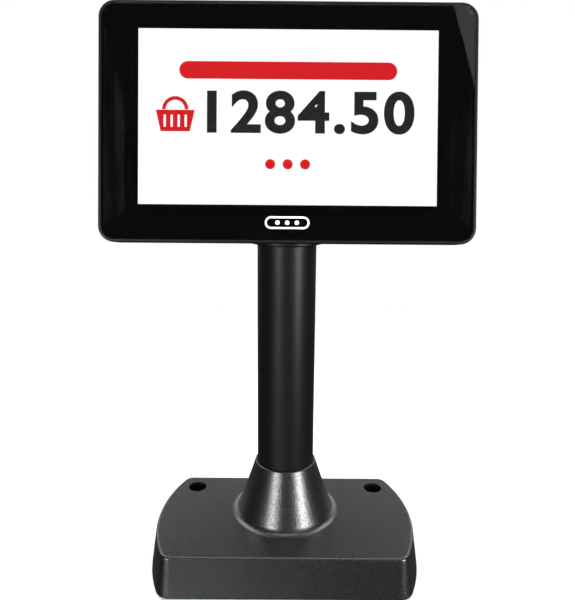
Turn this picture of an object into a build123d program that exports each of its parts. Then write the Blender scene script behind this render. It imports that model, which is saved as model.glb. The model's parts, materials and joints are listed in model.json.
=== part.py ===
from build123d import *

import os
from math import cos, radians, sin, tan

# Counter-top point-of-sale touchscreen terminal on a pole, in millimetres.
# +Z is up, the customer's side faces -Y, and the origin is on the counter under the middle of the base.
# The stand is fixed, the neck swivels on top of the pole, and the head tilts on the neck.
# Head pieces are drawn upright in their own frame (X across, Y = depth behind the glass, Z up, zero at the
# middle of the glass's front face) and HEAD puts them in place.

# ---- driving sizes: base -------------------------------------------------------------------------------
base_depth = 88.5  # front edge to back edge, at the flat top
base_front_width = 139.0
base_mid_width = 158.5
base_back_width = 136.0
base_corner = 6.0  # plan radius of the four upright corners
base_top = 26.0  # flat top above the counter
base_draft = 8.0  # degrees the side walls lean in
base_wall = 2.5
base_edge = 1.8  # rounding along the flat top's edge
skirt_edge = 1.5  # rounding along the bottom of the side walls
foot_drop = 1.2  # how far the feet stand below the skirt
floor_thickness = 2.4
ballast_thickness = 5.0
flange_thickness = 3.0

# ---- driving sizes: pole and collar --------------------------------------------------------------------
pole_y = 7.25  # pole axis behind the middle of the base
pole_radius = 17.5
pole_wall = 2.0
pole_top = 199.0
collar_top = 60.4
collar_wall = 1.0
collar_gap = 0.3  # all round, between pole and collar
cone_foot_radius = 31.0  # flare where it meets the base's top
cone_hollow = 0.4  # how far the flare sags inward of a straight cone
cone_fillet = 5.0

# ---- driving sizes: head -------------------------------------------------------------------------------
active_width = 154.0  # lit area of the 7-inch panel
active_height = 90.0
border_side = 20.5  # from the lit area to the head's edge
border_top = 14.4
border_bottom = 19.7
head_corner = 8.5
rim_depth = 16.0  # thickness at the head's edge
bezel_depth = 9.4  # where the front frame meets the rear housing
board_width = 112.0
board_height = 68.0
board_room_side = 19.0  # from the main board's edge to the side of the raised back
board_room_end = 12.0
hump_depth = 27.0
hump_drop = 6.0  # middle of the raised back below the head's middle
hump_corner = 9.0
shell_wall = 2.2
tilt_back = 10.0  # degrees the head leans back at rest

# ---- driving sizes: neck -------------------------------------------------------------------------------
disc_radius = 22.5
disc_thickness = 5.5
disc_lower_edge, disc_upper_edge = 0.8, 1.6  # roundings
disc_screw_floor = 1.0  # left under the screw holes
hinge_rise = 27.2  # tilt axis above the disc
hinge_depth = 44.0  # tilt axis behind the glass
hinge_drop = 27.6  # tilt axis below the head's middle
knuckle_radius = 8.0
knuckle_width = 26.0
ear_thickness = 3.0
shaft_radius = 3.0

# ---- clearances ----------------------------------------------------------------------------------------
running = 0.05  # radial, shaft in bore
moving = 0.3  # between faces of pieces that move past each other
seat = 0.05  # radial, between pieces pushed together and left
screw_gap = 0.1  # radial, round a screw that passes through
join = 0.5  # how far pieces of one moulding run into each other
wall_cut = 8.0  # how far a cut runs out past the outside

LOW = (Align.CENTER, Align.CENTER, Align.MIN)
POLE = Pos(0, pole_y, 0)

# ---- sizes that follow ---------------------------------------------------------------------------------
head_width = active_width + 2 * border_side
head_height = active_height + border_top + border_bottom
active_rise = (border_bottom - border_top) / 2
hump_width = board_width + 2 * board_room_side
hump_height = board_height + 2 * board_room_end
floor_top = foot_drop + floor_thickness
ballast_top = floor_top + ballast_thickness
flange_top = ballast_top + flange_thickness
draft_run = (base_top - foot_drop) * tan(radians(base_draft))
disc_bottom = pole_top + moving
disc_top = disc_bottom + disc_thickness
hinge_z = disc_top + hinge_rise
HEAD = Pos(0, pole_y, hinge_z) * Rot(X=-tilt_back) * Pos(0, -hinge_depth, hinge_drop)


# ---- small builders ------------------------------------------------------------------------------------
def post(radius, bottom, top, x=0.0, y=0.0):
    """Upright cylinder."""
    return Pos(x, y, bottom) * Cylinder(radius, top - bottom, align=LOW)


def ring(outer, inner, bottom, top, x=0.0, y=0.0):
    """Upright tube."""
    return post(outer, bottom, top, x, y) - post(inner, bottom, top, x, y)


def block(width, depth, bottom, top, x=0.0, y=0.0):
    """Upright box."""
    return Pos(x, y, bottom) * Box(width, depth, top - bottom, align=LOW)


def slab(sketch, front, back):
    """Head piece: a sketch drawn across and up, made solid between two depths behind the glass."""
    return extrude(Plane.XZ.offset(-back) * sketch, amount=back - front)


def peg(radius, front, back, x=0.0, z=0.0):
    """Head piece: a cylinder along the depth."""
    return slab(Pos(x, z) * Circle(radius), front, back)


def cross_rod(radius, left, right):
    """Cylinder on the tilt axis between two places across."""
    return Pos(left, pole_y, hinge_z) * Rot(0, 90, 0) * Cylinder(radius, right - left, align=LOW)


def lathe(*corners):
    """Solid turned about the pole's axis from (radius, height) corners."""
    return POLE * revolve(Plane.XZ * Polygon(*corners, align=None), Axis.Z)


def group(solids):
    """Separate solids kept together in one node."""
    return Compound(children=list(solids))


def mirrored(x, y):
    return [(-x, y), (x, y)]


# ---- screws --------------------------------------------------------------------------------------------
SCREW_SOCKET = 0.55  # share of the head's height that the drive recess takes


def screw(shank, length, head, head_height, recess):
    """Pan-head screw along +Z: shank from -length to 0, head above it with a hexagonal drive recess."""
    body = post(shank, -length, 0) + post(head, 0, head_height)
    body = fillet(body.edges().sort_by(Axis.Z)[-1], head_height * 0.35)
    drive = extrude(RegularPolygon(recess, 6), amount=head_height * SCREW_SOCKET)
    return body - Pos(0, 0, head_height * (1 - SCREW_SOCKET)) * drive


# ---- base ----------------------------------------------------------------------------------------------
well_radius = 6.0  # counterbore for a fixing screw, open at the base's top
well_wall = 1.8
well_floor = 2.5
well_x = 59.8
well_from_back = 13.0
well_y = base_depth / 2 - well_from_back
fixing_radius = 2.6  # clearance for a 5 mm fixing screw
wells = mirrored(well_x, well_y)

base_screw_shank = 1.5
base_screw_head = 2.9
base_screw_head_height = 1.6
base_screw_length = 14.0
boss_radius = 4.0
boss_inset = 12.0  # from the front and back edges
boss_front_x, boss_back_x = 58.0, 36.0
boss_front_y, boss_back_y = boss_inset - base_depth / 2, base_depth / 2 - boss_inset
boss_places = mirrored(boss_front_x, boss_front_y) + mirrored(boss_back_x, boss_back_y)

foot_radius = 6.5
foot_recess = 0.5
foot_inset = 10.3
foot_x = 45.0
foot_y = base_depth / 2 - foot_inset
foot_places = {
    "foot_front_left": (-foot_x, -foot_y),
    "foot_front_right": (foot_x, -foot_y),
    "foot_back_left": (-foot_x - 3, foot_y - 4),
    "foot_back_right": (foot_x + 3, foot_y - 4),
}

jack_width = 15.0
jack_height = 12.5
jack_length = 16.0
jack_recess = 0.4  # jack's mouth behind the rear wall's face
jack_bore_width = 11.8
jack_bore_height = 8.2
jack_bore_depth = 12.0
jack_lip = 1.8  # wall under the plug
latch_width, latch_floor = 4.0, 0.8  # groove for the plug's latch, and the wall left under it
board_thickness = 1.6
jack_bottom = floor_top + board_thickness
jack_middle = jack_bottom + jack_height / 2
jack_mouth = base_depth / 2 + (base_top - jack_middle) * tan(radians(base_draft)) - jack_recess
jack_gap = 0.15  # between the jack and the cut in the rear wall
jack_front = jack_mouth - jack_length
inlet_board_width = 26.0

cable_radius = 2.0
cable_slot = 10.0  # width of the slot that lets the harness into the pole's foot
harness_z = jack_bottom + 3.2
harness_corner = 12.0
harness_drop = 45.0  # lead's top end below the pole's
harness_top = pole_top - harness_drop
plug_width, plug_length, plug_height = 9.0, 7.0, 6.0
coupler_radius, coupler_length = 4.5, 16.0
coupler_bore, coupler_mouth = 3.2, 6.0
board_margin = 1.0  # between the board's edge, the plug and the jack
plug_y = jack_front - board_margin - plug_length / 2
board_front_edge = plug_y - plug_length / 2 - board_margin
board_back_edge = base_depth / 2 + (base_top - jack_bottom) * tan(radians(base_draft)) - base_wall - moving
notch_margin = 1.0  # cut round the inlet board and in front of the jack

socket_radius = pole_radius - pole_wall - seat
socket_wall = 2.5
socket_rise = 4.0  # socket's top above the collar's
socket_top = collar_top + socket_rise
flange_screw_shank = 1.9
flange_screw_head = 3.3
flange_screw_head_height = 2.2
flange_screw_circle = pole_radius + flange_screw_head + 1.3
flange_radius = flange_screw_circle + flange_screw_head + 1.6
flange_places = [
    (flange_screw_circle * cos(radians(a)), pole_y + flange_screw_circle * sin(radians(a)))
    for a in (45, 135, 225, 315)
]

lock_drop = 8.0  # lock screw below the collar's rim
lock_z = collar_top - lock_drop
lock_shank = 2.0
lock_head = 3.4
lock_head_height = 2.2
lock_wall = 2.4  # collar's wall under the lock screw's head
lock_seat = pole_radius + collar_gap + lock_wall


def base_outline(grow=0.0):
    """Plan of the base's flat top, straight front and back with bowed sides, grown by an offset."""
    front, back = -base_depth / 2, base_depth / 2
    corners = [(base_front_width / 2, front), (base_mid_width / 2, 0), (base_back_width / 2, back)]
    right = ThreePointArc(*corners)
    left = ThreePointArc(*[(-x, y) for x, y in corners])
    face = make_face([right, left, Line(left @ 0, right @ 0), Line(left @ 1, right @ 1)])
    face = fillet(face.vertices(), base_corner)
    return offset(face, grow)


collar_bore = pole_radius + collar_gap
collar_radius = collar_bore + collar_wall
cone_flat = base_depth / 2 - base_edge - pole_y - cone_foot_radius  # left behind the flare
cone_root = min(cone_fillet, 1.25 * cone_flat)  # a larger rounding would run off the flat
base_roof = base_top - base_wall


def ring_edge(solid, radius, height):
    """The solid's circular edge of this radius round the pole, at this height."""
    circles = solid.edges().filter_by(GeomType.CIRCLE)
    return circles.filter_by(lambda e: abs(e.radius - radius) < 0.01 and abs(e.center().Z - height) < 0.01)


def flared_collar():
    """Trumpet-shaped collar on the pole's axis, standing on the base's top, with its bore."""
    middle_radius = (collar_radius + cone_foot_radius) / 2 - cone_hollow
    middle_height = (collar_top + base_top) / 2 - cone_hollow / 2
    rim, foot_point = (collar_radius, collar_top), (cone_foot_radius, base_top)
    side = ThreePointArc(rim, (middle_radius, middle_height), foot_point)
    rest = Polyline(foot_point, (collar_bore, base_top), (collar_bore, collar_top), rim)
    return POLE * revolve(Plane.XZ * make_face([side, *rest.edges()]), Axis.Z)


def base_shell():
    """Outer form of the base with its collar, hollowed from below."""
    height = base_top - foot_drop
    shell = Pos(0, 0, foot_drop) * extrude(base_outline(draft_run), height, taper=base_draft)
    shell = fillet(shell.faces().sort_by(Axis.Z)[-1].edges(), base_edge)
    shell = fillet(shell.faces().sort_by(Axis.Z)[0].edges(), skirt_edge)
    shell += flared_collar()
    shell = fillet(ring_edge(shell, cone_foot_radius, base_top), cone_root)
    shell = fillet(ring_edge(shell, collar_radius, collar_top), collar_wall * 0.6)
    cavity = extrude(base_outline(draft_run - base_wall), height - base_wall, taper=base_draft)
    shell -= Pos(0, 0, foot_drop) * cavity
    inner_foot = cone_foot_radius - base_wall
    inner_top = lock_z - 2 * lock_head
    below = base_roof - 1
    flare = [(0, below), (inner_foot, below), (inner_foot, base_roof), (collar_bore, inner_top), (0, inner_top)]
    shell -= lathe(*flare)
    return shell - POLE * post(collar_bore, below, collar_top)


def base_cover():
    """Moulded top shell with the flared collar, the screw bosses and two fixing wells."""
    shell = base_shell()
    for x, y in wells:
        shell += post(well_radius + well_wall, floor_top, base_roof + join, x, y)
    for x, y in boss_places:
        shell += post(boss_radius, ballast_top, base_roof + join, x, y)
    for x, y in wells:
        shell -= post(well_radius, floor_top + well_floor, base_top, x, y)
        shell -= post(fixing_radius, floor_top, base_top, x, y)
    screw_tip = foot_drop + base_screw_head_height + base_screw_length
    for x, y in boss_places:
        shell -= post(base_screw_shank, ballast_top, screw_tip, x, y)
    shell -= jack_block(jack_gap, wall_cut)
    return shell - (lock_hole(lock_shank + screw_gap) + lock_spotface())


def jack_block(gap, beyond):
    """The jack's outer box, grown by a gap and drawn out past the rear wall."""
    length = jack_length + beyond
    middle = jack_mouth + beyond - length / 2
    width = jack_width + 2 * gap
    return block(width, length, jack_bottom - gap, jack_bottom + jack_height + gap, 0, middle)


def lock_hole(radius):
    """Radial hole at the back of the collar, for the screw that locks the pole."""
    return Pos(0, pole_y, lock_z) * Rot(-90, 0, 0) * Cylinder(radius, lock_seat + wall_cut, align=LOW)


def lock_spotface():
    return Pos(0, pole_y + lock_seat, lock_z) * Rot(-90, 0, 0) * Cylinder(lock_head + join, wall_cut, align=LOW)


def lock_screw():
    """Screw through the collar, pole and socket at the back."""
    length = lock_seat - (socket_radius - socket_wall)
    made = screw(lock_shank, length, lock_head, lock_head_height, 1.9)
    return Pos(0, pole_y + lock_seat, lock_z) * Rot(-90, 0, 0) * made


def bottom_plate():
    """Floor of the base, let into the skirt, with recesses for the feet and the screw heads."""
    outline = base_outline(draft_run - base_wall - moving)
    plate = Pos(0, 0, foot_drop) * extrude(outline, floor_thickness, taper=base_draft)
    for x, y in foot_places.values():
        plate -= post(foot_radius + seat, foot_drop, foot_drop + foot_recess, x, y)
    for x, y in boss_places:
        plate -= post(base_screw_head + 0.2, foot_drop, foot_drop + base_screw_head_height, x, y)
        plate -= post(base_screw_shank + screw_gap, foot_drop, floor_top, x, y)
    for x, y in wells:
        plate -= post(fixing_radius, foot_drop, floor_top, x, y)
    return plate


def foot(x, y):
    """Rubber foot stuck in its recess."""
    pad = post(foot_radius, 0, foot_drop + foot_recess, x, y)
    return fillet(pad.edges().sort_by(Axis.Z)[0], foot_drop * 0.4)


def base_screws():
    """Four screws up through the floor and the ballast into the cover's bosses."""
    made = screw(base_screw_shank, base_screw_length, base_screw_head, base_screw_head_height, 1.5)
    seat_z = foot_drop + base_screw_head_height
    return group(Pos(x, y, seat_z) * Rot(180, 0, 0) * made for x, y in boss_places)


ballast_margin = 3.5  # between the ballast and the inside of the skirt


def ballast_plate():
    """Steel plate that keeps the stand down, cut away round the wells, the inlet board and the harness."""
    plate = Pos(0, 0, floor_top) * extrude(base_outline(-base_wall - ballast_margin), ballast_thickness)
    reach = well_radius + well_wall + moving
    for x, y in wells:
        plate -= post(reach, floor_top, ballast_top, x, y)
    for side in (-1, 1):
        beyond = side * (well_x + base_mid_width / 4)
        corner_y = well_y - reach + base_depth / 4
        plate -= block(base_mid_width / 2, base_depth / 2, floor_top, ballast_top, beyond, corner_y)
    for x, y in boss_places:
        plate -= post(base_screw_shank + moving, floor_top, ballast_top, x, y)
    notch_front = board_front_edge - notch_margin
    notch_width = inlet_board_width + 2 * notch_margin
    plate -= block(notch_width, base_depth, floor_top, ballast_top, 0, notch_front + base_depth / 2)
    plate -= POLE * post(socket_radius - socket_wall, floor_top, ballast_top)
    slot_length = notch_front - pole_y + 1
    plate -= block(cable_slot, slot_length, floor_top, ballast_top, 0, pole_y + slot_length / 2)
    for x, y in flange_places:
        plate -= post(flange_screw_shank, floor_top, ballast_top, x, y)
    return plate


def pole_socket():
    """Flanged steel spigot, screwed to the ballast, that the pole slides over."""
    made = ring(flange_radius, socket_radius - socket_wall, ballast_top, flange_top)
    made += ring(socket_radius, socket_radius - socket_wall, ballast_top, socket_top)
    made = POLE * made
    made -= block(cable_slot, flange_radius, ballast_top, flange_top, 0, pole_y + flange_radius / 2)
    flat = jack_front - notch_margin
    made -= block(2 * flange_radius, flange_radius, ballast_top, flange_top, 0, flat + flange_radius / 2)
    for x, y in flange_places:
        made -= post(flange_screw_shank + screw_gap, ballast_top, flange_top, x, y)
    return made - lock_hole(lock_shank + seat)


def socket_screws():
    """Four screws that hold the socket's flange to the ballast."""
    length = flange_thickness + ballast_thickness - seat
    made = screw(flange_screw_shank, length, flange_screw_head, flange_screw_head_height, 1.7)
    return group(Pos(x, y, flange_top) * made for x, y in flange_places)


def pole_tube():
    """Round pole, standing on the socket's flange and open at both ends."""
    made = POLE * ring(pole_radius, pole_radius - pole_wall, flange_top, pole_top)
    outer_top = made.edges().filter_by(GeomType.CIRCLE).sort_by(Axis.Z)[-2:].sort_by(SortBy.RADIUS)[-1]
    made = fillet(outer_top, 0.5)
    return made - lock_hole(lock_shank + screw_gap)


def inlet_board():
    """Small circuit board under the jack."""
    depth = board_back_edge - board_front_edge
    return block(inlet_board_width, depth, floor_top, jack_bottom, 0, board_front_edge + depth / 2)


def inlet_jack():
    """Eight-way modular socket for the data and power lead, open to the rear."""
    bore_bottom = jack_bottom + jack_lip
    bore_middle = jack_mouth - jack_bore_depth / 2
    bore = block(jack_bore_width, jack_bore_depth, bore_bottom, bore_bottom + jack_bore_height, 0, bore_middle)
    latch = block(latch_width, jack_bore_depth, jack_bottom + latch_floor, bore_bottom, 0, bore_middle)
    return jack_block(0, 0) - bore - latch


contact_count = 8
contact_pitch, contact_wire, contact_reach = 1.02, 0.45, 6.5
contact_droop = 18.0  # degrees
contact_inset = 2.5  # behind the jack's mouth
HUNG = (Align.CENTER, Align.MAX, Align.MAX)


def inlet_contacts():
    """Gold spring wires in the roof of the jack."""
    roof = jack_bottom + jack_lip + jack_bore_height
    one = Rot(contact_droop, 0, 0) * Box(contact_wire, contact_reach, contact_wire, align=HUNG)
    start = jack_mouth - contact_inset
    top = roof - seat
    middle = (contact_count - 1) / 2
    return group(Pos((i - middle) * contact_pitch, start, top) * one for i in range(contact_count))


def harness_path():
    """Centreline of the lead: from its plug on the inlet board to the pole's axis, then up the pole."""
    leaves_plug = (0, plug_y - plug_length / 2, harness_z)
    return FilletPolyline(leaves_plug, (0, pole_y, harness_z), (0, pole_y, harness_top), radius=harness_corner)


def pole_harness():
    """Captive lead inside the stand."""
    path = harness_path()
    start = Plane(origin=path @ 0, x_dir=(1, 0, 0), z_dir=path % 0)
    return sweep(start * Circle(cable_radius), path)


def harness_plugs():
    """Board plug at the lead's foot and the in-line coupler at its top."""
    foot_plug = block(plug_width, plug_length, jack_bottom, jack_bottom + plug_height, 0, plug_y)
    top = harness_top + coupler_length
    coupler = post(coupler_radius, harness_top, top) - post(coupler_bore, top - coupler_mouth, top)
    return group([foot_plug, POLE * coupler])


# ---- swivel --------------------------------------------------------------------------------------------
bolt_radius = 8.0
bolt_bore = 5.0
bolt_head = 11.0
bolt_head_height = 2.5
yoke_plate = 2.5
bush_length = 14.0
bush_bottom = pole_top - bush_length
nut_height = 5.0
washer_thickness = 0.8
washer_rise = 1.2
stop_circle = 11.5
stop_radius = 1.3
stop_groove = 3.0
stop_half_angle = 8.0  # half the width of the block that stops the pin
stop_seat = 2.0  # pin's length in the disc
bolt_end_past_nut = 1.5
nut_bottom = bush_bottom - moving - washer_rise - washer_thickness - nut_height
bolt_end = nut_bottom - bolt_end_past_nut
nut_flats, nut_round = 13.0, 12.6  # hexagon's corner radius and the round that blunts it

yoke_screw_shank = 1.5
yoke_screw_head = 2.6
yoke_screw_head_height = 1.6
yoke_screw_circle = bolt_head + 1.6
yoke_screw_places = [(0, pole_y - yoke_screw_circle), (0, pole_y + yoke_screw_circle)]
yoke_depth = 32.0
yoke_margin = 1.8  # disc seen outside the yoke's plate
ear_foot = 24.0  # ear's width where it meets the plate
ear_inner = knuckle_width / 2 + moving
ear_outer = ear_inner + ear_thickness


def swivel_bush():
    """Bearing plug fixed in the pole's top, with the groove and block that limit the swivel."""
    made = POLE * ring(socket_radius, bolt_radius + running, bush_bottom, pole_top)
    groove_in = stop_circle - stop_radius - moving
    groove_out = stop_circle + stop_radius + moving
    groove = POLE * ring(groove_out, groove_in, pole_top - stop_groove, pole_top)
    half = Plane.XZ * Rectangle(stop_circle * 2, stop_groove * 2, align=(Align.MIN, Align.CENTER))
    wedge = revolve(half, Axis.Z, revolution_arc=2 * stop_half_angle)
    stop_block = Pos(0, pole_y, pole_top) * Rot(0, 0, 180 - stop_half_angle) * wedge
    return made - (groove - stop_block)


def swivel_disc():
    """Turned disc on top of the pole that carries the tilt yoke."""
    made = POLE * post(disc_radius, disc_bottom, disc_top)
    made = fillet(made.edges().sort_by(Axis.Z)[0], disc_lower_edge)
    made = fillet(made.edges().sort_by(Axis.Z)[-1], disc_upper_edge)
    made -= POLE * post(bolt_radius + seat, disc_bottom, disc_top)
    made -= post(stop_radius, disc_bottom, disc_bottom + stop_seat, stop_circle, pole_y)
    for x, y in yoke_screw_places:
        made -= post(yoke_screw_shank, disc_bottom + disc_screw_floor, disc_top, x, y)
    return made


def stop_pin():
    """Pin under the disc that runs in the bush's groove."""
    return post(stop_radius, pole_top - stop_groove + moving, disc_bottom + stop_seat, stop_circle, pole_y)


def swivel_bolt():
    """Hollow bolt that clamps the yoke and the disc to the pole and lets the lead through."""
    top = disc_top + yoke_plate
    head = extrude(RegularPolygon(bolt_head, 6), amount=bolt_head_height)
    made = POLE * (Pos(0, 0, top) * head + post(bolt_radius, bolt_end, top))
    return made - POLE * post(bolt_bore, bolt_end, top + bolt_head_height)


def swivel_nut():
    """Hexagon nut with blunted corners under the bush."""
    nut_top = nut_bottom + nut_height
    made = Pos(0, 0, nut_bottom) * extrude(RegularPolygon(nut_flats, 6), amount=nut_height)
    made = made & post(nut_round, nut_bottom, nut_top)
    return POLE * (made - post(bolt_radius + seat, nut_bottom, nut_top))


def spring_washer():
    """Conical washer between the nut and the bush."""
    low = nut_bottom + nut_height + seat
    high = low + washer_rise
    inner, outer = bolt_radius + seat, nut_round
    return lathe((inner, low), (outer, high), (outer, high + washer_thickness), (inner, low + washer_thickness))


def tilt_yoke():
    """Folded steel bracket with two ears that hold the tilt shaft."""
    plate = block(2 * ear_outer, yoke_depth, disc_top, disc_top + yoke_plate, 0, pole_y)
    plate = plate & POLE * post(disc_radius - yoke_margin, disc_top, disc_top + yoke_plate)
    half = ear_foot / 2
    top_corners = [(knuckle_radius, hinge_z), (-knuckle_radius, hinge_z)]
    side = Polygon((-half, disc_top), (half, disc_top), *top_corners, align=None)
    side += Pos(0, hinge_z) * Circle(knuckle_radius)
    ear = extrude(Plane.YZ * side, amount=ear_thickness, dir=(1, 0, 0))
    made = plate + Pos(ear_inner, pole_y, 0) * ear + Pos(-ear_outer, pole_y, 0) * ear
    made -= POLE * post(bolt_radius + seat, disc_top, disc_top + yoke_plate)
    for x, y in yoke_screw_places:
        made -= post(yoke_screw_shank + screw_gap, disc_top, disc_top + yoke_plate, x, y)
    return made - cross_rod(shaft_radius, -ear_outer, ear_outer)


def yoke_screws():
    """Two screws that hold the yoke to the disc."""
    length = yoke_plate + disc_thickness - disc_screw_floor - seat
    made = screw(yoke_screw_shank, length, yoke_screw_head, yoke_screw_head_height, 1.3)
    return group(Pos(x, y, disc_top + yoke_plate) * made for x, y in yoke_screw_places)


shaft_head = 5.0
shaft_head_height = 2.5
shaft_past_nut = 1.0
friction_washer_radius = 5.8
friction_washer_pitch = 1.0
friction_washer_thickness = 0.9
friction_washer_count = 3
tilt_nut_left = ear_outer + friction_washer_count * friction_washer_pitch
tilt_nut_height = 3.5
tilt_nut_corner = 5.4
tilt_nut_right = tilt_nut_left + tilt_nut_height
cap_radius = 9.2
cap_wall = 1.4
cap_length = 9.6


def tilt_shaft():
    """Hinge pin with a round head, held in the ears."""
    made = cross_rod(shaft_radius, -ear_outer, tilt_nut_right + shaft_past_nut)
    return made + cross_rod(shaft_head, -ear_outer - shaft_head_height, -ear_outer)


def friction_washers():
    """Stack of washers that holds the head where it is put."""
    solids = []
    for i in range(friction_washer_count):
        left = ear_outer + i * friction_washer_pitch
        right = left + friction_washer_thickness
        washer = cross_rod(friction_washer_radius, left, right)
        solids.append(washer - cross_rod(shaft_radius + seat, left, right))
    return group(solids)


def tilt_nut():
    """Hexagon nut that squeezes the friction washers."""
    hexagon = extrude(RegularPolygon(tilt_nut_corner, 6), amount=tilt_nut_height)
    nut = Pos(tilt_nut_left, pole_y, hinge_z) * Rot(0, 90, 0) * hexagon
    return nut - cross_rod(shaft_radius + seat, tilt_nut_left, tilt_nut_right)


def hinge_cap(side):
    """Moulded cup over one end of the tilt shaft; side is -1 or 1."""
    inner, outer = sorted((side * ear_outer, side * (ear_outer + cap_length)))
    made = cross_rod(cap_radius, inner, outer)
    end_edges = made.edges().sort_by(Axis.X)
    made = fillet(end_edges[-1] if side > 0 else end_edges[0], 1.5)
    hollow_end = side * (ear_outer + cap_length - cap_wall)
    hollow = cross_rod(cap_radius - cap_wall, *sorted((side * ear_outer, hollow_end)))
    return made - hollow


# ---- head ----------------------------------------------------------------------------------------------
rim_width = 1.4  # frame seen round the glass
glass_gap = 0.15
glass_thickness = 1.8
print_thickness = 0.15
tape_thickness = 0.25
rim_setback = 0.4  # frame's front behind the glass's
rim_edge = 0.9  # rounding of the frame's front
glass_bevel = 0.35
print_inset = 0.2  # printed border inside the glass's edge
tape_inset = 1.0
ledge_thickness = 1.6
ledge_front = glass_thickness + print_thickness + tape_thickness
ledge_back = ledge_front + ledge_thickness
bezel_wall = 2.0
panel_side = 5.5  # from the lit area to the panel's edge
panel_top = 3.1
panel_bottom = 6.9  # room for the driver chips
lcd_width = active_width + 2 * panel_side
lcd_height = active_height + panel_top + panel_bottom
lcd_rise = active_rise + (panel_top - panel_bottom) / 2
lcd_gap = 0.5
cell_thickness = 1.4
lcd_thickness = 5.2
cell_back = ledge_front + cell_thickness
lcd_back = ledge_front + lcd_thickness
tray_margin = 15.0  # flat round the tray's sunk back
tray_sink = 0.4
lcd_pad = 0.2  # foam pads between the panel and the chassis
chassis_front = lcd_back + lcd_pad
chassis_thickness = 1.0
chassis_back = chassis_front + chassis_thickness
chassis_overlap = 8.5  # past the panel's sides, where its screws are
chassis_width = lcd_width + 2 * chassis_overlap
chassis_height = lcd_height - 6.0
chassis_corner = 4.0
chassis_slot_length, chassis_slot_width = 30.0, 8.0
chassis_slot_x, chassis_slot_z = 28.0, 24.0
standoff_length = 6.0
board_front = chassis_back + standoff_length
board_back = board_front + board_thickness
roof_inside = hump_depth - shell_wall

head_screw_shank = 1.4
head_screw_head = 2.7
head_screw_head_height = 1.7
head_screw_sunk = 2.6  # seat of the rear screws below the rear face
head_boss = 3.3
housing_boss = 4.0
chassis_screw_shank = 1.2
chassis_boss = 3.0
small_screw_head = 2.2
small_screw_head_height = 1.3
board_screw_shank = 1.0
head_screw_inset = 9.8
corner_x = head_width / 2 - head_screw_inset
corner_z = head_height / 2 - head_screw_inset
corner_places = [(x, z) for x in (-corner_x, corner_x) for z in (-corner_z, corner_z)]
chassis_screw_x = lcd_width / 2 + lcd_gap + chassis_boss + 1.1
chassis_screw_z = 22.0
chassis_places = [(x, z) for x in (-chassis_screw_x, chassis_screw_x)
                  for z in (-chassis_screw_z, chassis_screw_z)]
standoff_inset = 4.0
standoff_x = board_width / 2 - standoff_inset
standoff_z = board_height / 2 - standoff_inset
standoff_places = [(x, z - hump_drop) for x in (-standoff_x, standoff_x) for z in (-standoff_z, standoff_z)]

glass_width = head_width - 2 * (rim_width + glass_gap)
glass_height = head_height - 2 * (rim_width + glass_gap)
glass_corner = head_corner - rim_width - glass_gap


def rounded(width, height, corner, inset=0.0):
    """Rounded rectangle drawn in from this outline by an inset."""
    return RectangleRounded(width - 2 * inset, height - 2 * inset, corner - inset)


def panel_outline(grow=0.0):
    """Panel's rectangle, grown on every side."""
    return Pos(0, lcd_rise) * Rectangle(lcd_width + 2 * grow, lcd_height + 2 * grow)


def cover_glass():
    """Touch glass over the whole front, with a small bevel round its edge."""
    made = slab(rounded(glass_width, glass_height, glass_corner), 0, glass_thickness)
    return chamfer(made.faces().sort_by(Axis.Y)[0].edges(), glass_bevel)


def border_print():
    """Black printed border behind the glass, open over the lit area."""
    sketch = rounded(glass_width, glass_height, glass_corner, print_inset)
    sketch -= Pos(0, active_rise) * Rectangle(active_width, active_height)
    return slab(sketch, glass_thickness, glass_thickness + print_thickness)


def glass_tape():
    """Adhesive ring that holds the glass to the frame."""
    sketch = rounded(glass_width, glass_height, glass_corner, tape_inset)
    sketch -= panel_outline(lcd_gap + tape_inset)
    return slab(sketch, glass_thickness + print_thickness, ledge_front)


def front_bezel():
    """Front frame: outer wall, pocket for the glass, ledge under it and the screw bosses."""
    made = slab(rounded(head_width, head_height, head_corner), rim_setback, bezel_depth)
    made = fillet(made.faces().sort_by(Axis.Y)[0].edges(), rim_edge)
    made -= slab(rounded(glass_width, glass_height, glass_corner, -glass_gap), rim_setback, ledge_front)
    made -= slab(panel_outline(lcd_gap), rim_setback, bezel_depth)
    made -= slab(rounded(head_width, head_height, head_corner, bezel_wall), ledge_back, bezel_depth)
    for x, z in corner_places:
        made += peg(head_boss, ledge_back - join, bezel_depth, x, z)
    for x, z in chassis_places:
        made += peg(chassis_boss, ledge_back - join, chassis_front, x, z)
    for x, z in corner_places:
        made -= peg(head_screw_shank, ledge_back, bezel_depth, x, z)
    for x, z in chassis_places:
        made -= peg(chassis_screw_shank, ledge_back - join, chassis_front, x, z)
    return made


def lcd_cell():
    """Liquid-crystal glass behind the window."""
    return slab(panel_outline(), ledge_front, cell_back)


def lcd_backlight():
    """Pressed metal tray with the light guide, under the cell."""
    tray = slab(panel_outline(), cell_back, lcd_back)
    return tray - slab(panel_outline(-tray_margin), lcd_back - tray_sink, lcd_back)


def chassis_plate():
    """Steel plate that holds the panel in and carries the main board."""
    sketch = rounded(chassis_width, chassis_height, chassis_corner)
    for x in (-chassis_slot_x, chassis_slot_x):
        for z in (-chassis_slot_z, chassis_slot_z):
            sketch -= Pos(x, z) * SlotOverall(chassis_slot_length, chassis_slot_width)
    made = slab(sketch, chassis_front, chassis_back)
    for x, z in chassis_places:
        made -= peg(chassis_screw_shank + screw_gap, chassis_front, chassis_back, x, z)
    for x, z in standoff_places:
        made -= peg(standoff_foot + seat, chassis_front, chassis_back, x, z)
    return made


def head_screw(length, shank, head, height):
    """Screw driven from behind, head towards +Y."""
    return Rot(-90, 0, 0) * screw(shank, length, head, height, head * 0.5)


def placed(solid, depth, places):
    """Copies of a head piece at one depth and several places."""
    return group(Pos(x, depth, z) * solid for x, z in places)


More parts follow.
